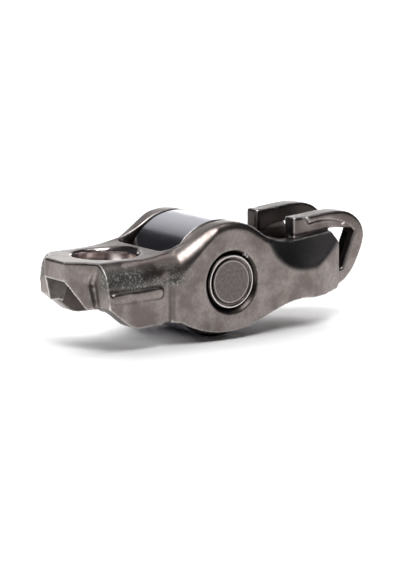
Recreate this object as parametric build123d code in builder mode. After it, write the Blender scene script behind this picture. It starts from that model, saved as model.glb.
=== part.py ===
from build123d import *
import os
from math import asin, floor, pi

# Roller-follower rocker arm: a one-piece cast body with a ring at one end and a forked
# ball socket at the other, and a needle-bearing roller on a staked pin between them.
# Millimetres. The origin is the roller's axis on the arm's mid-plane. X runs along the
# arm from the ring (-X) to the fork (+X), and +Z is the side that the ring faces.

os.makedirs("parts", exist_ok=True)

# Roller, pin and needles
roller_radius = 8.75
roller_wall = 2.87       # from the rim to the inner race
roller_edge = 0.45
roller_side_gap = 0.45   # between the roller and each wall
roller_proud = 1.35      # how far the roller stands below the walls
pin_inset = 0.2          # how far the pin's ends stop short of the bosses
pin_edge = 0.15
stake_land = 0.33        # the groove that the staking punch leaves in each pin end
stake_width = 0.42
stake_depth = 0.35
needle_diameter = 1.8
needle_end_gap = 0.55    # how much shorter than the roller a needle is at each end
needle_gap = 0.02        # least gap between two needles
needle_edge = 0.15
race_clearance = 0.015   # radial play on each side of a needle

# Side walls and the hump over the roller
wall_outer = 9.4
wall_thickness = 3.1
hump_margin = 0.05       # from the roller's rim to the hump's crest
hump_round = 1.1
window_gap_left = 1.45   # from the roller's rim to the window's ends
window_gap_right = 0.95
window_corner = 1.6
pin_hole_chamfer = 0.7

# Ring end: reaches run along X from the bore's axis
top_z = 4.5
ring_thickness = 2.9
ring_web = 1.05          # between the bore and the window
ring_bore_radius = 4.9
ring_bore_chamfer = 0.3
ring_rise = 1.15         # reach of the flat top, which then rises to the hump
nose_reach = 8.95
nose_half_width = 2.5
nose_chamfer = 2.2
leg_reach = 5.7
leg_lean = 0.3           # how far the legs' front edges lean back at the toe
leg_wall = 1.6
leg_top_width = 6.4
leg_step = 0.6           # how far the legs stand in from the bosses
leg_splay = 0.5          # how much wider apart the legs are at the front
leg_step_reach = 5.05
leg_step_round = 0.35
leg_ridge = 0.2          # the ledge below the flare
leg_ridge_z = 0.4
leg_floor_z = -5.2
leg_toe_z = -1.9
leg_heel_reach = 2.25
leg_heel_rise = 0.8
gusset_z = -2.3
gusset_foot = 4.7
gusset_thickness = 0.4
channel_taper = 1.5
channel_taper_drop = 2.8
bead_height = 0.3        # the raised bead along each leg's ridge
bead_width = 1.5
bead_inset = 0.6
bead_length = 9.2

# Pivot end: reaches run along X from the socket's axis
pivot_x = 19.0
pivot_z = 1.6
socket_radius = 4.5
socket_lip = 0.6
socket_shell = 3.0
socket_wall = 1.9
rim_z = 4.55
rim_end_z = 5.3
rim_run = 3.7            # from under the hump's end to where the rim levels out
end_reach = 2.6
end_chamfer = 1.4
end_corner_z = 3.2
end_facet_length = 5.85
end_facet_depth = 2.2
end_floor_z = -3.6
end_floor_chamfer = 0.6
pocket_half_width = 5.0
pocket_reach = 6.6
pocket_corner = 1.5
saddle_reach = 5.4
saddle_z = 7.6
saddle_radius = 6.8      # on the boss face
saddle_depth = 2.7

# Fork: reaches run along X from the socket's axis
fork_gap = 6.92
fork_rib = 2.5
fork_strap = 2.95
fork_tip_reach = 5.15
fork_tip_height = 3.25
fork_tip_floor = 4.45
fork_tip_round = 0.4
fork_step_reach = 2.9
fork_strap_thickness = 1.3
fork_top = 8.1
fork_crown_reach = 1.8
fork_back_reach = 7.87
fork_slot_reach = 6.1
fork_slot_top = 5.0
fork_slot_foot_reach = 3.7
fork_slot_floor = -0.8


def flank(level, foot_x):
    """Concave arc from a level line up to the hump: its foot, middle and where it meets the hump."""
    radius = (foot_x**2 + level**2 - hump_radius**2) / (2 * (hump_radius - level))
    centre = Vector(foot_x, level + radius)
    meet = centre * (hump_radius / (hump_radius + radius))
    middle = centre + ((Vector(foot_x, level) - centre) + (meet - centre)).normalized() * radius
    return Vector(foot_x, level), middle, meet


# Derived sizes
race_radius = roller_radius - roller_wall
pin_radius = race_radius - needle_diameter - 2 * race_clearance
needle_pitch = pin_radius + race_clearance + needle_diameter / 2
needle_count = floor(pi / asin((needle_diameter + needle_gap) / 2 / needle_pitch))
wall_inner = wall_outer - wall_thickness
roller_width = 2 * (wall_inner - roller_side_gap)
needle_length = roller_width - 2 * needle_end_gap
pin_half = wall_outer - pin_inset
hump_radius = roller_radius + hump_margin
belly_z = roller_proud - roller_radius
window_left = -roller_radius - window_gap_left
window_right = roller_radius + window_gap_right
ring_x = window_left - ring_web - ring_bore_radius
ring_floor_z = top_z - ring_thickness
nose_x = ring_x - nose_reach
nose_corner_x = nose_x + nose_chamfer
nose_corner_width = nose_half_width + nose_chamfer
leg_front_x = ring_x - leg_reach
channel_front_x = leg_front_x + leg_wall
leg_width = wall_outer - leg_step
leg_flare_width = leg_width - leg_ridge
step_x = ring_x + leg_step_reach
leg_run = step_x - leg_front_x + leg_wall
bead_back = step_x - leg_front_x - bead_inset - bead_length / 2
channel_top_width = nose_corner_width + gusset_thickness
channel_floor_width = channel_top_width + channel_taper
end_x = pivot_x + end_reach
toe_x = end_x - end_floor_chamfer
end_half_width = wall_outer - end_facet_depth
fork_inner = fork_gap / 2
fork_rib_width = fork_inner + fork_rib
fork_outer = fork_inner + fork_strap
fork_tip_x = pivot_x - fork_tip_reach
fork_tip_top = fork_tip_floor + fork_tip_height
fork_step_x = pivot_x - fork_step_reach
fork_crown_x = pivot_x + fork_crown_reach
fork_back_x = pivot_x + fork_back_reach
fork_slot_x = pivot_x + fork_slot_reach
fork_slot_foot_x = pivot_x + fork_slot_foot_reach
beyond = 4 * wall_outer  # longer than any cut has to be

# Nose: the front of the ring, with two gussets that run down to the legs
with BuildPart() as nose:
    nose_plan = [
        (nose_x, -nose_half_width),
        (nose_corner_x, -nose_corner_width),
        (leg_front_x, -leg_top_width),
        (channel_front_x, -leg_top_width),
        (channel_front_x, leg_top_width),
        (leg_front_x, leg_top_width),
        (nose_corner_x, nose_corner_width),
        (nose_x, nose_half_width),
    ]
    with BuildSketch(Plane.XY.offset(gusset_z)):
        with BuildLine():
            Polyline(*nose_plan, close=True)
        make_face()
    extrude(amount=top_z - gusset_z)
    gusset_floor_width = gusset_foot + 3 * gusset_thickness
    with BuildSketch(Plane.YZ.offset(nose_x)):
        with BuildLine():
            Polyline(
                (leg_top_width, top_z),
                (channel_top_width, ring_floor_z),
                (gusset_floor_width, gusset_z),
                (-gusset_floor_width, gusset_z),
                (-channel_top_width, ring_floor_z),
                (-leg_top_width, top_z),
                close=True,
            )
        make_face()
    extrude(amount=channel_front_x - nose_x, mode=Mode.INTERSECT)

# Shoulder: what is taken off the +Y side so that the legs flare in a convex curve and the
# hump rounds over. Each section gives X, the curve's foot and its upper edge.
shoulder_sections = [
    (nose_x, (leg_flare_width + leg_splay, leg_ridge_z), (leg_top_width, top_z)),
    (ring_x - 0.4 * ring_bore_radius, (leg_flare_width + 0.55 * leg_splay, leg_ridge_z), (leg_top_width, top_z)),
    (ring_x + 0.65 * ring_bore_radius, (leg_width, 1.25 * leg_ridge_z), (0.72 * wall_outer, 1.07 * top_z)),
    (-1.02 * hump_radius, (wall_outer, 0.18 * hump_radius), (0.7 * wall_outer, 0.62 * hump_radius)),
    (-0.57 * hump_radius, (wall_outer, 0.39 * hump_radius), (0.86 * wall_outer, 0.83 * hump_radius)),
    (-0.23 * hump_radius, (wall_outer, 0.78 * hump_radius), (0.95 * wall_outer, 0.98 * hump_radius)),
    (0.06 * hump_radius, (1.04 * wall_outer, 0.95 * hump_radius), (0.99 * wall_outer, 1.02 * hump_radius)),
]
cutter_top = 1.5 * hump_radius
cutter_side = 1.5 * wall_outer
with BuildPart() as shoulder:
    for x, foot, edge in shoulder_sections:
        chord = Vector(*edge) - Vector(*foot)
        bulge = (Vector(*foot) + Vector(*edge)) / 2 + Vector(chord.Y, -chord.X) * 0.16
        with BuildSketch(Plane.YZ.offset(x)):
            with BuildLine():
                ThreePointArc(foot, bulge, edge)
                Polyline(edge, (edge[0], cutter_top), (cutter_side, cutter_top), (cutter_side, foot[1]), foot)
            make_face()
    loft(ruled=True)

# Horn: one prong of the fork on the +Y side, a hook that rises from the body's lower end
with BuildPart() as horn:
    with BuildSketch(Plane.XZ.offset(-fork_outer)):
        with BuildLine():
            Line((fork_tip_x, fork_tip_floor), (fork_tip_x, fork_tip_top))
            Spline(
                (fork_tip_x, fork_tip_top),
                (fork_crown_x, fork_top),
                (pivot_x + 0.77 * fork_back_reach, 0.88 * fork_top),
                (fork_back_x, 0.54 * fork_top),
                (pivot_x + 0.92 * fork_back_reach, 0.2 * fork_top),
                (pivot_x + 0.66 * fork_back_reach, end_floor_z / 2),
                (toe_x, end_floor_z),
            )
            Polyline(
                (toe_x, end_floor_z),
                (pivot_x, end_floor_z),
                (pivot_x, fork_slot_floor),
                (fork_slot_foot_x, fork_slot_floor),
                (fork_slot_x, fork_slot_top),
            )
            Spline(
                (fork_slot_x, fork_slot_top),
                (pivot_x + fork_slot_reach / 2, 1.09 * fork_slot_top),
                (pivot_x, 1.1 * fork_slot_top),
                (pivot_x - 0.4 * fork_tip_reach, 1.04 * fork_slot_top),
                (pivot_x - 0.63 * fork_tip_reach, 1.03 * fork_tip_floor),
                (fork_tip_x, fork_tip_floor),
            )
        make_face()
    extrude(amount=fork_outer - fork_inner)
    fillet(horn.faces().sort_by(Axis.X)[0].edges().filter_by(Axis.Z), fork_tip_round)
    # The strap's underside steps in to the rib, which tapers out at the corner
    strap_floor = fork_top - fork_strap_thickness
    rib_start = (fork_step_x + 0.3 * fork_strap_thickness, 0.975 * strap_floor)
    rib_end = (fork_slot_x - 0.3 * fork_strap_thickness, 1.05 * fork_slot_top)
    with BuildSketch(Plane.XZ.offset(-fork_outer)):
        with BuildLine():
            Polyline(
                rib_end,
                (rib_end[0], fork_slot_top),
                (fork_slot_foot_x, fork_tip_floor / 2),
                (fork_tip_x / 2, fork_tip_floor / 2),
                (fork_tip_x / 2, 2 * fork_top),
                (fork_step_x - 0.5 * fork_strap_thickness, 2 * fork_top),
                (fork_step_x - 0.5 * fork_strap_thickness, fork_top),
                rib_start,
            )
            Spline(rib_start, (fork_crown_x, strap_floor), rib_end)
        make_face()
    extrude(amount=fork_outer - fork_rib_width, mode=Mode.SUBTRACT)

# Body: the side walls, ring, legs, socket and fork, cast in one piece
with BuildPart() as arm_body:
    left_foot, left_middle, left_meet = flank(top_z, ring_x + ring_rise)
    right_foot, right_middle, right_meet = flank(rim_z, hump_radius + rim_run)
    belly_right = Vector(1.2 * right_foot.X, 1.12 * end_floor_z)
    belly_left = Vector(step_x + 0.4 * leg_step_reach, 0.98 * leg_floor_z)
    leg_heel = Vector(ring_x - leg_heel_reach, leg_floor_z + leg_heel_rise)
    with BuildSketch(Plane.XZ):
        with BuildLine():
            Line((leg_front_x, top_z), left_foot)
            ThreePointArc(left_foot, left_middle, left_meet)
            ThreePointArc(left_meet, (0, hump_radius), right_meet)
            ThreePointArc(right_meet, right_middle, right_foot)
            Polyline(
                right_foot,
                (end_x - end_chamfer, rim_end_z),
                (end_x, end_corner_z),
                (end_x, end_floor_z + end_floor_chamfer),
                (toe_x, end_floor_z),
                ((toe_x + belly_right.X) / 2, 1.12 * end_floor_z),
                belly_right,
            )
            Spline(
                belly_right,
                (0.54 * belly_right.X, 0.69 * belly_z),
                (0.31 * belly_right.X, 0.87 * belly_z),
                (0, belly_z),
                (0.6 * belly_left.X, 0.905 * belly_z),
                belly_left,
            )
            Polyline(
                belly_left,
                (step_x, 0.94 * leg_floor_z),
                (step_x - 0.38 * leg_step_reach, leg_floor_z),
                (ring_x, leg_floor_z),
            )
            ThreePointArc(
                (ring_x, leg_floor_z),
                (ring_x - leg_heel_reach / 2, leg_floor_z + leg_heel_rise / 4),
                leg_heel,
            )
            Polyline(leg_heel, (leg_front_x + leg_lean, leg_toe_z), (leg_front_x, top_z))
        make_face()
    extrude(amount=wall_outer, both=True)
    hump_edges = arm_body.edges().filter_by(GeomType.CIRCLE).filter_by_position(Axis.Z, rim_z, hump_radius)
    fillet(hump_edges.filter_by(lambda edge: edge.radius == hump_radius or edge.center().X > 0), hump_round)
    # The legs stand in from the bosses, behind a rounded step
    for side in (-1, 1):
        with BuildSketch(Plane.XY.offset(-beyond / 2)):
            with BuildLine():
                Polyline(
                    (leg_front_x - leg_wall, side * (leg_width + leg_splay)),
                    (step_x, side * leg_width),
                    (step_x + leg_step_round, side * wall_outer),
                    (step_x, side * (wall_outer + leg_step)),
                    (leg_front_x - leg_wall, side * (wall_outer + leg_step)),
                    close=True,
                )
            make_face()
    extrude(amount=beyond, mode=Mode.SUBTRACT)
    add(shoulder.part, mode=Mode.SUBTRACT)
    add(mirror(shoulder.part, Plane.XZ), mode=Mode.SUBTRACT)
    for side in (-1, 1):
        bead_foot = (step_x, side * (leg_width + bead_height), 0)
        forward = Vector(-leg_run, side * leg_splay) * side
        outward = (leg_splay, side * leg_run, 0)
        with BuildSketch(Plane(bead_foot, x_dir=forward, z_dir=outward)):
            with Locations((side * bead_back, leg_ridge_z - bead_width / 2)):
                SlotOverall(bead_length, bead_width)
        extrude(amount=-2 * bead_height)
    add(nose.part)
    # Channel under the ring, and its V-shaped mouth between the gussets
    with BuildSketch(Plane.YZ.offset(channel_front_x)):
        with BuildLine():
            Polyline(
                (-channel_top_width, ring_floor_z),
                (channel_top_width, ring_floor_z),
                (channel_floor_width, ring_floor_z - channel_taper_drop),
                (channel_floor_width, 2 * leg_floor_z),
                (-channel_floor_width, 2 * leg_floor_z),
                (-channel_floor_width, ring_floor_z - channel_taper_drop),
                close=True,
            )
        make_face()
    extrude(amount=window_left + window_corner - channel_front_x, mode=Mode.SUBTRACT)
    with BuildSketch(Plane.YZ.offset(nose_x)):
        with BuildLine():
            Polyline(
                (-nose_half_width, ring_floor_z),
                (nose_half_width, ring_floor_z),
                (gusset_foot, gusset_z),
                (1.4 * gusset_foot, 2 * leg_floor_z),
                (-1.4 * gusset_foot, 2 * leg_floor_z),
                (-gusset_foot, gusset_z),
                close=True,
            )
        make_face()
    extrude(amount=channel_front_x - nose_x + leg_wall, mode=Mode.SUBTRACT)
    # Roller window, pocket over the socket, and the end facets
    with BuildSketch(Plane.XY.offset(-beyond / 2)):
        with Locations(((window_left + window_right) / 2, 0)):
            RectangleRounded(window_right - window_left, 2 * wall_inner, window_corner)
    extrude(amount=beyond, mode=Mode.SUBTRACT)
    with BuildSketch(Plane.XY.offset(pivot_z + socket_lip)):
        with Locations((pivot_x - pocket_reach + beyond / 2, 0)):
            RectangleRounded(beyond, 2 * pocket_half_width, pocket_corner)
    extrude(amount=beyond, mode=Mode.SUBTRACT)
    for side in (-1, 1):
        with BuildSketch(Plane.XY.offset(-beyond / 2)):
            with BuildLine():
                Polyline(
                    (end_x - end_facet_length, side * wall_outer),
                    (end_x + end_facet_length, side * (wall_outer - 2 * end_facet_depth)),
                    (end_x + end_facet_length, side * (wall_outer + end_facet_depth)),
                    (end_x - end_facet_length, side * (wall_outer + end_facet_depth)),
                    close=True,
                )
            make_face()
    extrude(amount=beyond, mode=Mode.SUBTRACT)
    # Saddle: a dished relief on each outer face below the fork, which runs out at the end
    ball = (saddle_radius**2 + saddle_depth**2) / (2 * saddle_depth)
    saddle_x = pivot_x - saddle_reach
    with Locations(*((saddle_x, side * (wall_outer + ball - saddle_depth), saddle_z) for side in (-1, 1))):
        Sphere(ball, mode=Mode.SUBTRACT)
        Cylinder(
            ball,
            beyond,
            rotation=(0, 90, 0),
            align=(Align.CENTER, Align.CENTER, Align.MIN),
            mode=Mode.SUBTRACT,
        )
    # Ball socket, with a domed back and a round end between the horns
    socket_floor_z = pivot_z - socket_radius
    with BuildSketch(Plane.XZ) as dome:
        with Locations((pivot_x, pivot_z)):
            Circle(socket_radius + socket_shell)
            Rectangle(beyond, beyond, align=(Align.MAX, Align.CENTER), mode=Mode.SUBTRACT)
        with Locations((pivot_x, socket_floor_z)):
            Rectangle(beyond, beyond, align=(Align.CENTER, Align.MIN), mode=Mode.SUBTRACT)
    revolve(axis=Axis((pivot_x, 0, 0), (0, 0, 1)))
    with BuildSketch(Plane.XY.offset(socket_floor_z)):
        with Locations((pivot_x, 0)):
            Circle(socket_radius + socket_wall)
            Rectangle(beyond, fork_gap, align=(Align.MIN, Align.CENTER), mode=Mode.INTERSECT)
    extrude(amount=pivot_z + socket_lip - socket_floor_z)
    with Locations((pivot_x, 0, pivot_z)):
        Sphere(socket_radius, mode=Mode.SUBTRACT)
        Cylinder(
            socket_radius,
            beyond,
            align=(Align.CENTER, Align.CENTER, Align.MIN),
            mode=Mode.SUBTRACT,
        )
    add(horn.part)
    add(mirror(horn.part, Plane.XZ))
    # Ring bore and pin hole
    with Locations((ring_x, 0, top_z)):
        CounterSinkHole(ring_bore_radius, ring_bore_radius + ring_bore_chamfer, 2 * ring_thickness)
    with Locations(Location((0, -wall_outer, 0), (90, 0, 0)), Location((0, wall_outer, 0), (-90, 0, 0))):
        CounterSinkHole(pin_radius, pin_radius + pin_hole_chamfer, wall_outer)
arm_body.part.label = "arm_body"
export_step(arm_body.part, "parts/arm_body.step")

# Axle pin: a hardened pin, staked into both walls
with BuildPart() as axle_pin:
    with BuildSketch(Plane.XZ.offset(-pin_half)):
        Circle(pin_radius)
    extrude(amount=2 * pin_half)
    chamfer(axle_pin.edges().filter_by(GeomType.CIRCLE), pin_edge)
    for end in (-1, 1):
        with BuildSketch(Plane.XZ.offset(end * pin_half)):
            Circle(pin_radius - stake_land)
            Circle(pin_radius - stake_land - stake_width, mode=Mode.SUBTRACT)
        extrude(amount=-end * stake_depth, mode=Mode.SUBTRACT)
axle_pin.part.label = "axle_pin"
export_step(axle_pin.part, "parts/axle_pin.step")

# Roller: the hardened ring that the cam runs on
with BuildPart() as roller:
    with BuildSketch(Plane.XZ.offset(-roller_width / 2)):
        Circle(roller_radius)
        Circle(race_radius, mode=Mode.SUBTRACT)
    extrude(amount=roller_width)
    rims = roller.edges().filter_by(GeomType.CIRCLE).sort_by(SortBy.RADIUS)
    chamfer(rims[-2:], roller_edge)
    chamfer(rims[:2], roller_edge / 2)
roller.part.label = "roller"
export_step(roller.part, "parts/roller.step")

# Needles: a full complement, with no cage
for index, place in enumerate(PolarLocations(needle_pitch, needle_count)):
    across = place.position
    with BuildPart() as needle:
        with BuildSketch(Plane.XZ.offset(-needle_length / 2)):
            with Locations((across.X, across.Y)):
                Circle(needle_diameter / 2)
        extrude(amount=needle_length)
        chamfer(needle.edges().filter_by(GeomType.CIRCLE), needle_edge)
    needle.part.label = f"needle_{index + 1:02d}"
    export_step(needle.part, f"parts/{needle.part.label}.step")
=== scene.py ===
import bpy
import bmesh
import math
from mathutils import Matrix, Vector


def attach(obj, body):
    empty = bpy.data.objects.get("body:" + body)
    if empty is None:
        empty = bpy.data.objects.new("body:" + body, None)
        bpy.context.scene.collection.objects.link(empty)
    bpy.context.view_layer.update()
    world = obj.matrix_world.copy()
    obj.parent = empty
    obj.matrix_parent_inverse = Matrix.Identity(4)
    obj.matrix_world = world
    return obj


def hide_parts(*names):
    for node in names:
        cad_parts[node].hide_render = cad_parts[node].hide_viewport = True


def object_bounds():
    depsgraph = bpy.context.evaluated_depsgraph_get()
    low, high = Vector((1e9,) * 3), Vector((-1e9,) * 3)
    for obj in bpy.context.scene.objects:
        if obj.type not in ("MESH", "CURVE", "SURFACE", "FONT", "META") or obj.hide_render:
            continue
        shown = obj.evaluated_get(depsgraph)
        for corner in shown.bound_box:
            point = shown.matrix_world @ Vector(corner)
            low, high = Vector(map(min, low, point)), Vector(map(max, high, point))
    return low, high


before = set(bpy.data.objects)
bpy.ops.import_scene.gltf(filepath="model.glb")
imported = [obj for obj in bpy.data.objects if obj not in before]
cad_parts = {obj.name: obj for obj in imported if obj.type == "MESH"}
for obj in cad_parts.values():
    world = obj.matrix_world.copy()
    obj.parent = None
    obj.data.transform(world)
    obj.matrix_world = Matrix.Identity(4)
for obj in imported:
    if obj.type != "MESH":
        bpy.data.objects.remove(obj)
cad_low, cad_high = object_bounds()

# The camera stands half a metre off, to the left of the arm's near side and a little above
# it, with a long lens, as for a catalogue picture of a small part.
turn, tilt, distance = math.radians(-35.5), math.radians(10.5), 0.5
back = Vector((math.sin(turn) * math.cos(tilt), -math.cos(turn) * math.cos(tilt), math.sin(tilt)))
right = Vector((math.cos(turn), math.sin(turn), 0))
up = back.cross(right)
aim = right * 0.00071 - up * 0.00185
camera = bpy.data.objects.new("camera", bpy.data.cameras.new("camera"))
camera.data.lens = 212
camera.data.sensor_width = 36
camera.data.clip_start = 0.01
facing = Matrix((right, up, back)).transposed().to_4x4()
camera.matrix_world = Matrix.Translation(aim + back * distance) @ facing
bpy.context.collection.objects.link(camera)
bpy.context.scene.camera = camera

# The studio: a sheet of white paper that runs out from under the part and curves up behind
# it, square to the camera. The room beyond the paper is dark, so the steel reflects dark there.
ahead = Vector((-back.x, -back.y, 0)).normalized()
paper_left, paper_right, paper_near, paper_top = -0.55, 0.22, -0.9, 0.75
bend_start, bend_radius, bend_steps = 0.3, 0.3, 12
profile = [(paper_near, 0), (bend_start, 0)]
for step in range(1, bend_steps + 1):
    angle = math.pi / 2 * step / bend_steps
    profile.append((bend_start + bend_radius * math.sin(angle), bend_radius * (1 - math.cos(angle))))
profile.append((bend_start + bend_radius, paper_top))
count = len(profile)
sweep_points = [
    right * across + ahead * deep + Vector((0, 0, cad_low.z + high))
    for across in (paper_left, paper_right)
    for deep, high in profile
]
sweep_mesh = bpy.data.meshes.new("paper_sweep")
sweep_mesh.from_pydata(sweep_points, [], [(i + 1, i + count + 1, i + count, i) for i in range(count - 1)])
sweep_mesh.shade_smooth()
sweep = bpy.data.objects.new("paper_sweep", sweep_mesh)
bpy.context.collection.objects.link(sweep)
paper = bpy.data.materials.new("white_paper")
paper.use_nodes = True
paper_shader = paper.node_tree.nodes["Principled BSDF"]
paper_shader.inputs["Base Color"].default_value = (0.9, 0.9, 0.9, 1)
paper_shader.inputs["Roughness"].default_value = 0.9
paper_shader.inputs["Specular IOR Level"].default_value = 0.1
sweep_mesh.materials.append(paper)


def soft_box(name, place, target, size, power, reflected=True):
    """A rectangular lamp that faces target. One that isn't reflected lights the paper, not the steel."""
    lamp = bpy.data.lights.new(name, "AREA")
    lamp.shape = "RECTANGLE"
    lamp.size, lamp.size_y = size
    lamp.energy = power
    box = bpy.data.objects.new(name, lamp)
    box.location = place
    box.rotation_mode = "QUATERNION"
    box.rotation_quaternion = (Vector(place) - Vector(target)).to_track_quat("Z", "Y")
    box.visible_glossy = reflected
    bpy.context.collection.objects.link(box)


def above(deep, high):
    """A place so far ahead of the part, and so high."""
    return ahead * deep + Vector((0, 0, high))


# The key lights the part. The others light the paper, which the steel mirrors.
part, leftward = (0, 0, 0), right * -0.35
soft_box("key", (-0.1, -0.3, 0.51), part, (0.28, 0.28), 2.6)
soft_box("high_back", above(0.5, 0.26) + right * 0.06, part, (0.9, 0.3), 5.2, reflected=False)
soft_box("overhead", above(0.2, 0.6), part, (1.2, 1.0), 1.3, reflected=False)
soft_box("left_wash", leftward + Vector((0, 0, 0.45)), leftward, (0.4, 0.4), 0.9, reflected=False)
soft_box("paper_wash", above(0.15, 0.8), above(0.6, 0.15), (0.9, 0.2), 2.2)
world = bpy.data.worlds.new("room")
bpy.context.scene.world = world
world.use_nodes = True
world.node_tree.nodes["Background"].inputs["Color"].default_value = (0.03, 0.03, 0.034, 1)
world.node_tree.nodes["Background"].inputs["Strength"].default_value = 1.0
bpy.context.scene.view_settings.view_transform = "Standard"


# The body is one steel casting: ring, legs, side walls and fork. Its skin is cleaned by
# shot, so every edge is a little round. The CAD solid is remeshed finely and eased to get
# that, and the drilled bore is set back to its true radius.
body_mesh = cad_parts["arm_body"].data.copy()
body_mesh.name = "cast_body"
shell = bmesh.new()
shell.from_mesh(body_mesh)
bmesh.ops.remove_doubles(shell, verts=shell.verts, dist=2e-7)
# The mesh is in millimetres from here until it is scaled back.
bmesh.ops.scale(shell, vec=(1000, 1000, 1000), verts=shell.verts)
shell.to_mesh(body_mesh)
shell.free()
body = bpy.data.objects.new("cast_body", body_mesh)
bpy.context.collection.objects.link(body)
skin = body.modifiers.new("skin", "REMESH")
skin.mode = "VOXEL"
skin.voxel_size = 0.208
skin.adaptivity = 0
ease = body.modifiers.new("ease", "SMOOTH")
ease.factor = 0.5
ease.iterations = 2
cast = bpy.data.meshes.new_from_object(body.evaluated_get(bpy.context.evaluated_depsgraph_get()))
body.modifiers.clear()
body.data = cast
ring_axis, ring_bore_radius = -16.15, 4.9
bore_foot, bore_head, bore_fade, bore_slack = 1.8, 4.1, 0.3, 0.25
outward = [vertex.normal.copy() for vertex in cast.vertices]
for vertex in cast.vertices:
    x, y, z = vertex.co
    reach = math.hypot(x - ring_axis, y)
    if abs(reach - ring_bore_radius) < bore_slack and bore_foot < z < bore_head:
        hold = min(1, (z - bore_foot) / bore_fade, (bore_head - z) / bore_fade)
        true = 1 + hold * (ring_bore_radius / reach - 1)
        vertex.co.x, vertex.co.y = ring_axis + (x - ring_axis) * true, y * true
# Pointiness misreads a short edge whose ends have the same x + y + z, so one end of each such
# edge is slid a hair within the surface.
even, slide = 0.004, 0.012
for edge in cast.edges:
    near, far = (cast.vertices[index] for index in edge.vertices)
    if abs(sum(near.co) - sum(far.co)) < even:
        normal = outward[far.index]
        far.co += slide * (Vector((1, 1, 1)) - normal * sum(normal))
cast.transform(Matrix.Scale(0.001, 4))
cast.shade_smooth()
cast.materials.clear()


def node_group(name, inputs, outputs):
    """A shader group with its named inputs and outputs: the tree, and its two end nodes."""
    tree = bpy.data.node_groups.new(name, "ShaderNodeTree")
    for socket, value in inputs:
        made = tree.interface.new_socket(socket, in_out="INPUT", socket_type="NodeSocketFloat")
        made.default_value = value
    for socket in outputs:
        tree.interface.new_socket(socket, in_out="OUTPUT", socket_type="NodeSocketFloat")
    return tree, tree.nodes.new("NodeGroupInput").outputs, tree.nodes.new("NodeGroupOutput").inputs


def join(tree, value, socket):
    """Feed a socket from another one, or set it to a value."""
    if isinstance(value, bpy.types.NodeSocket):
        tree.links.new(value, socket)
    else:
        socket.default_value = value


def add(tree, kind, settings=None, **inputs):
    """A node with its settings. Each input is named with _ for a space."""
    node = tree.nodes.new(kind)
    for name, value in (settings or {}).items():
        setattr(node, name, value)
    for name, value in inputs.items():
        join(tree, value, node.inputs[name.replace("_", " ")])
    return node


def maths(tree, operation, *values):
    """The result of one Math node."""
    node = add(tree, "ShaderNodeMath", {"operation": operation})
    for value, socket in zip(values, node.inputs):
        join(tree, value, socket)
    return node.outputs[0]


def times(tree, first, *others):
    for other in others:
        first = maths(tree, "MULTIPLY", first, other)
    return first


def plus(tree, first, *others):
    for other in others:
        first = maths(tree, "ADD", first, other)
    return first


def minus(tree, first, second):
    return maths(tree, "SUBTRACT", first, second)


def length(tree, *sides):
    """How far away a point is, from its distances along square axes."""
    return maths(tree, "SQRT", plus(tree, *(maths(tree, "POWER", side, 2.0) for side in sides)))


def rises(tree, value, low, high):
    """0 below low and 1 above high, with a smooth change between them."""
    smooth = {"interpolation_type": "SMOOTHSTEP"}
    return add(tree, "ShaderNodeMapRange", smooth, Value=value, From_Min=low, From_Max=high).outputs[0]


def falls(tree, value, low, high):
    """1 below low and 0 above high, with a smooth change between them."""
    return minus(tree, 1.0, rises(tree, value, low, high))


def mix_colour(tree, factor, first, second):
    """From the first colour to the second as factor goes from 0 to 1."""
    node = add(tree, "ShaderNodeMix", {"data_type": "RGBA"})
    for value, socket in ((factor, node.inputs[0]), (first, node.inputs[6]), (second, node.inputs[7])):
        join(tree, (*value, 1) if isinstance(value, tuple) else value, socket)
    return node.outputs[2]


def noise(tree, place, scale, detail, roughness=0.5):
    return add(
        tree, "ShaderNodeTexNoise", Vector=place, Scale=scale, Detail=detail, Roughness=roughness
    ).outputs["Fac"]


def object_place(tree):
    return add(tree, "ShaderNodeTexCoord").outputs["Object"]


# The grain of a cast or dull surface: fine and broad unevenness, with round pits here and
# there. Size is the width of its grains and Pit Size that of its pits, in millimetres.
grain, grain_in, grain_out = node_group(
    "cast_grain", [("Size", 0.5), ("Pit Size", 0.5), ("Pits", 0.3)], ["Height", "Speckle", "Pit"]
)
spot = object_place(grain)
grain_scale = maths(grain, "DIVIDE", 1000.0, grain_in["Size"])
pit_scale = maths(grain, "DIVIDE", 1000.0, grain_in["Pit Size"])
fine = noise(grain, spot, grain_scale, 5.0, 0.62)
broad = noise(grain, spot, times(grain, grain_scale, 0.27), 2.0)
cell = add(grain, "ShaderNodeTexVoronoi", Vector=spot, Scale=pit_scale, Randomness=1.0).outputs["Distance"]
where = noise(grain, spot, times(grain, pit_scale, 0.33), 2.0)
pit_start, pit_full = minus(grain, 0.75, grain_in["Pits"]), minus(grain, 0.85, grain_in["Pits"])
pit = times(grain, falls(grain, cell, 0.12, 0.42), rises(grain, where, pit_start, pit_full))
height = plus(grain, times(grain, fine, 0.5), times(grain, broad, 0.5))
grain.links.new(minus(grain, height, times(grain, pit, 0.25)), grain_out["Height"])
grain.links.new(fine, grain_out["Speckle"])
grain.links.new(pit, grain_out["Pit"])


def steel(name, roughness):
    """A steel with its shader: the material, its tree and the shader's inputs."""
    made = bpy.data.materials.new(name)
    made.use_nodes = True
    shader = made.node_tree.nodes["Principled BSDF"]
    shader.inputs["Metallic"].default_value = 1.0
    shader.inputs["Roughness"].default_value = roughness
    return made, made.node_tree, shader.inputs


def placed(tree, group, **inputs):
    """A shared effect in a material, with the material's own values: its outputs."""
    return add(tree, "ShaderNodeGroup", {"node_tree": group}, **inputs).outputs


def raise_surface(tree, shader, height, strength, depth):
    bump = add(tree, "ShaderNodeBump", Height=height, Strength=strength, Distance=depth)
    tree.links.new(bump.outputs["Normal"], shader["Normal"])


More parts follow.
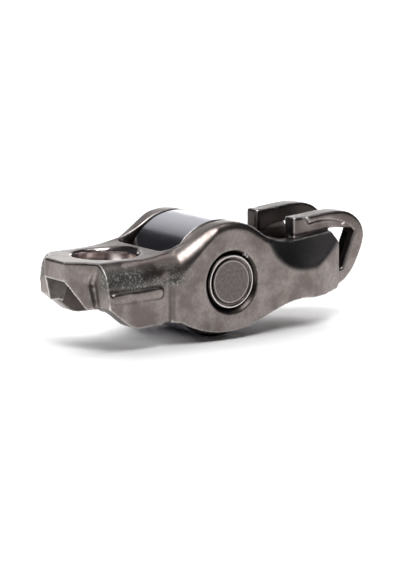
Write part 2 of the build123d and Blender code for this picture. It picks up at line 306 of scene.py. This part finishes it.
# The casting's finish: brown-grey steel with a fine grain and soft blotches. First come the
# places that differ from the rest, as masks, all in millimetres.
cast_steel, tree, shader = steel("cast_steel", 0.4)
place = object_place(tree)
axes = add(tree, "ShaderNodeSeparateXYZ", Vector=place).outputs
x_mm, y_mm, z_mm = (times(tree, axes[axis], 1000.0) for axis in "XYZ")
side = maths(tree, "ABSOLUTE", y_mm)
skin_grain = placed(tree, grain, Size=0.5, Pit_Size=0.6, Pits=0.22)
stain = noise(tree, place, 230.0, 5.0, 0.6)
specks = noise(tree, place, 3800.0, 2.0)

# Handling brightens the sharp edges, which also carry a painted highlight, and the hollow edges are darker.
ragged = times(tree, minus(tree, noise(tree, place, 900.0, 4.0), 0.5), 0.03)
sharp = plus(tree, add(tree, "ShaderNodeNewGeometry").outputs["Pointiness"], ragged)
worn_and_highlit_edge, hollow = rises(tree, sharp, 0.515, 0.585), falls(tree, sharp, 0.39, 0.46)

# The flare above the legs is rough and speckled, and the bore is cut clean and lightened further by a
# painted sheen.
flare = times(
    tree,
    rises(tree, side, 6.6, 8.2),
    falls(tree, x_mm, -12.0, -6.0),
    rises(tree, z_mm, 0.2, 0.9),
    falls(tree, z_mm, 2.4, 4.4),
    rises(tree, stain, 0.3, 0.55),
)
bore_reach = length(tree, minus(tree, x_mm, ring_axis), y_mm)
cut_bore_and_sheen = times(tree, falls(tree, bore_reach, 5.0, 5.3), rises(tree, z_mm, 1.4, 1.7))

# A saddle is a groove with a ball end, sunk in each side wall. The ball's centre comes first,
# and then how far from it the sunk surface ends.
ball_x, ball_side, ball_z, ball_reach = 13.6, 16.6, 7.6, 9.95
saddle_run = maths(tree, "MINIMUM", minus(tree, x_mm, ball_x), 0.0)
saddle_reach = length(tree, saddle_run, minus(tree, side, ball_side), minus(tree, z_mm, ball_z))
# The saddle gets painted shade, near black, less towards the fork's end.
saddle_shade_mask = times(
    tree,
    falls(tree, saddle_reach, ball_reach, ball_reach + 0.55),
    rises(tree, side, 6.5, 6.7),
    rises(tree, x_mm, 4.0, 6.0),
)

# Painted shade darkens the gap between the horns, the socket, the horns' square tips and
# the bevel round the pin.
above_belly = rises(tree, z_mm, -3.3, -3.0)
between = times(tree, falls(tree, side, 3.6, 3.9), rises(tree, x_mm, 12.0, 13.5), above_belly)
bowl = times(
    tree,
    falls(tree, side, 5.0, 5.3),
    rises(tree, x_mm, 11.8, 12.6),
    falls(tree, z_mm, 4.2, 4.8),
    above_belly,
)
tips = times(tree, falls(tree, x_mm, 13.9, 14.1), rises(tree, x_mm, 13.0, 13.6), rises(tree, z_mm, 4.9, 5.2))
bevel = times(tree, falls(tree, length(tree, x_mm, z_mm), 4.6, 4.8), rises(tree, side, 8.2, 8.4))
# These places together get painted shade.
painted_recess_shade = between
for hidden in (bowl, tips, bevel):
    painted_recess_shade = maths(tree, "MAXIMUM", painted_recess_shade, hidden)

# Painted shade lies on the step at each leg, and the horns are darker than the walls.
painted_step_shade = times(
    tree,
    rises(tree, x_mm, -11.2, -11.0),
    falls(tree, x_mm, -10.6, -9.8),
    falls(tree, z_mm, -0.4, 1.0),
    rises(tree, side, 8.0, 8.6),
)
horns = times(tree, rises(tree, x_mm, 12.5, 13.2), falls(tree, side, 6.5, 6.6), rises(tree, z_mm, 4.2, 5.4))

# The colours, one place over another, from the bare skin to the cut bore.
speckle = skin_grain["Speckle"]
speckled_flare = mix_colour(tree, rises(tree, specks, 0.5, 0.64), (0.10, 0.104, 0.098), (0.44, 0.44, 0.41))
painted_saddle_shade = mix_colour(tree, rises(tree, x_mm, 12.5, 18.5), (0.022, 0.024, 0.027), (0.10, 0.095, 0.095))
colour = mix_colour(tree, rises(tree, stain, 0.38, 0.62), (0.152, 0.126, 0.117), (0.262, 0.23, 0.216))
for cover, share, finish in (
    (rises(tree, speckle, 0.42, 0.62), 0.35, (0.15, 0.13, 0.122)),
    (flare, 0.85, speckled_flare),
    (times(tree, skin_grain["Pit"], flare), 1.0, (0.04, 0.042, 0.04)),
    (hollow, 0.7, (0.05, 0.045, 0.043)),
    # painted shade on the step at each leg
    (painted_step_shade, 0.6, (0.06, 0.05, 0.047)),
    (horns, 0.42, (0.085, 0.07, 0.065)),
    # painted shade in the saddles
    (saddle_shade_mask, 0.88, painted_saddle_shade),
    # painted shade in the recesses, on the horn tips and in the pin's bevel
    (painted_recess_shade, 0.88, (0.035, 0.028, 0.026)),
    # wear and a painted highlight along the sharp edges
    (worn_and_highlit_edge, 0.85, (0.9, 0.86, 0.84)),
    # the cut bore, lighter steel with a painted sheen over it
    (cut_bore_and_sheen, 1.0, (0.72, 0.64, 0.62)),
):
    colour = mix_colour(tree, times(tree, cover, share), colour, finish)
tree.links.new(colour, shader["Base Color"])
dull = plus(tree, 0.24, times(tree, speckle, 0.16), times(tree, maths(tree, "MAXIMUM", flare, saddle_shade_mask), 0.18))
tree.links.new(minus(tree, dull, times(tree, cut_bore_and_sheen, 0.14)), shader["Roughness"])
unevenness = plus(tree, times(tree, minus(tree, 1.0, cut_bore_and_sheen), 0.5), times(tree, flare, 1.8))
raise_surface(tree, shader, times(tree, skin_grain["Height"], unevenness), 0.4, 0.00005)
cast.materials.append(cast_steel)
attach(body, "arm")
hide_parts("arm_body")


# The axle pin is hardened steel with a dull turned end. A punch has struck a ring into
# each end, which spreads the pin in its hole.
pin_steel, tree, shader = steel("pin_steel", 0.4)
pin_grain = placed(tree, grain, Size=0.4, Pit_Size=0.5, Pits=0.15)

# The lines that a lathe or grinder leaves. Ends is 1 where they run round an end and 0 where
# they run round a rim, and Spacing is their width in millimetres.
rings, rings_in, rings_out = node_group(
    "turned_rings", [("Spacing", 0.1), ("Ends", 1.0)], ["Height", "Radius"]
)
axes = add(rings, "ShaderNodeSeparateXYZ", Vector=object_place(rings)).outputs
radius = times(rings, length(rings, axes["X"], axes["Z"]), 1000.0)
along = times(rings, axes["Y"], 1000.0)
over_end = times(rings, radius, rings_in["Ends"])
over_rim = times(rings, along, minus(rings, 1.0, rings_in["Ends"]))
line = maths(rings, "DIVIDE", plus(rings, over_end, over_rim), rings_in["Spacing"])
lines = add(rings, "ShaderNodeTexNoise", {"noise_dimensions": "1D"}, W=line, Scale=1.0, Detail=3.0)
rings.links.new(lines.outputs["Fac"], rings_out["Height"])
rings.links.new(radius, rings_out["Radius"])

# The struck ring on the pin's end, from its lip out to its rim, with painted highlights on the lip and the
# land and painted shade in the groove and at the rim.
turned = placed(tree, rings, Spacing=0.12, Ends=1.0)
blur = 0.03
lip, struck, land, rim = (
    times(
        tree,
        rises(tree, turned["Radius"], inner - blur, inner + blur),
        falls(tree, turned["Radius"], outer - blur, outer + blur),
    )
    for inner, outer in ((2.98, 3.12), (3.2, 3.42), (3.68, 3.88), (3.9, 4.2))
)
mottle = rises(tree, pin_grain["Speckle"], 0.35, 0.65)
colour = mix_colour(tree, mottle, (0.125, 0.104, 0.10), (0.18, 0.154, 0.148))
# Painted shade in the groove and at the rim, painted highlights on the lip and the land.
painted_ring_shade = times(tree, maths(tree, "MAXIMUM", struck, rim), 0.8)
painted_ring_highlights = plus(tree, times(tree, lip, 0.45), times(tree, land, 0.85))
colour = mix_colour(tree, painted_ring_shade, colour, (0.04, 0.034, 0.032))
colour = mix_colour(tree, painted_ring_highlights, colour, (0.62, 0.58, 0.56))
tree.links.new(colour, shader["Base Color"])
tree.links.new(minus(tree, 0.42, times(tree, land, 0.16)), shader["Roughness"])
relief = plus(tree, times(tree, turned["Height"], 0.5), times(tree, pin_grain["Height"], 0.5))
raise_surface(tree, shader, relief, 0.15, 0.00003)


def dress(node, material):
    """Give a CAD node its material in place of its own."""
    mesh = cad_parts[node].data
    mesh.materials.clear()
    mesh.materials.append(material)


dress("axle_pin", pin_steel)

# The roller is a hardened ring, ground bright all round, with the grinder's fine lines
# running round it. Its ends and their bevels are painted dark as shade.
roller_steel, tree, shader = steel("roller_steel", 0.16)
grinding = placed(tree, rings, Spacing=0.09, Ends=0.0)
place = object_place(tree)
haze = noise(tree, place, 260.0, 3.0)
across = maths(tree, "ABSOLUTE", add(tree, "ShaderNodeSeparateXYZ", Vector=place).outputs["Y"])
end = rises(tree, across, 0.0054, 0.00543)
# Painted shade on the roller's ends and their bevels.
painted_end_shade = mix_colour(tree, rises(tree, haze, 0.4, 0.6), (0.05, 0.043, 0.04), (0.09, 0.078, 0.073))
bright = mix_colour(tree, rises(tree, grinding["Height"], 0.3, 0.7), (0.44, 0.44, 0.48), (0.51, 0.51, 0.555))
tree.links.new(mix_colour(tree, end, bright, painted_end_shade), shader["Base Color"])
tree.links.new(plus(tree, 0.13, times(tree, haze, 0.1), times(tree, end, 0.25)), shader["Roughness"])
raise_surface(tree, shader, grinding["Height"], 0.15, 0.00001)
dress("roller", roller_steel)

# The needles run between the pin and the roller: seventeen bright ground rods, with no
# cage. Only their ends can be seen, through the gaps beside the roller.
needle_steel, tree, shader = steel("needle_steel", 0.2)
oiled = noise(tree, object_place(tree), 700.0, 3.0)
colour = mix_colour(tree, rises(tree, oiled, 0.3, 0.7), (0.52, 0.52, 0.54), (0.70, 0.70, 0.72))
tree.links.new(colour, shader["Base Color"])
tree.links.new(plus(tree, 0.14, times(tree, oiled, 0.14)), shader["Roughness"])
for number in range(1, 18):
    dress(f"needle_{number:02d}", needle_steel)
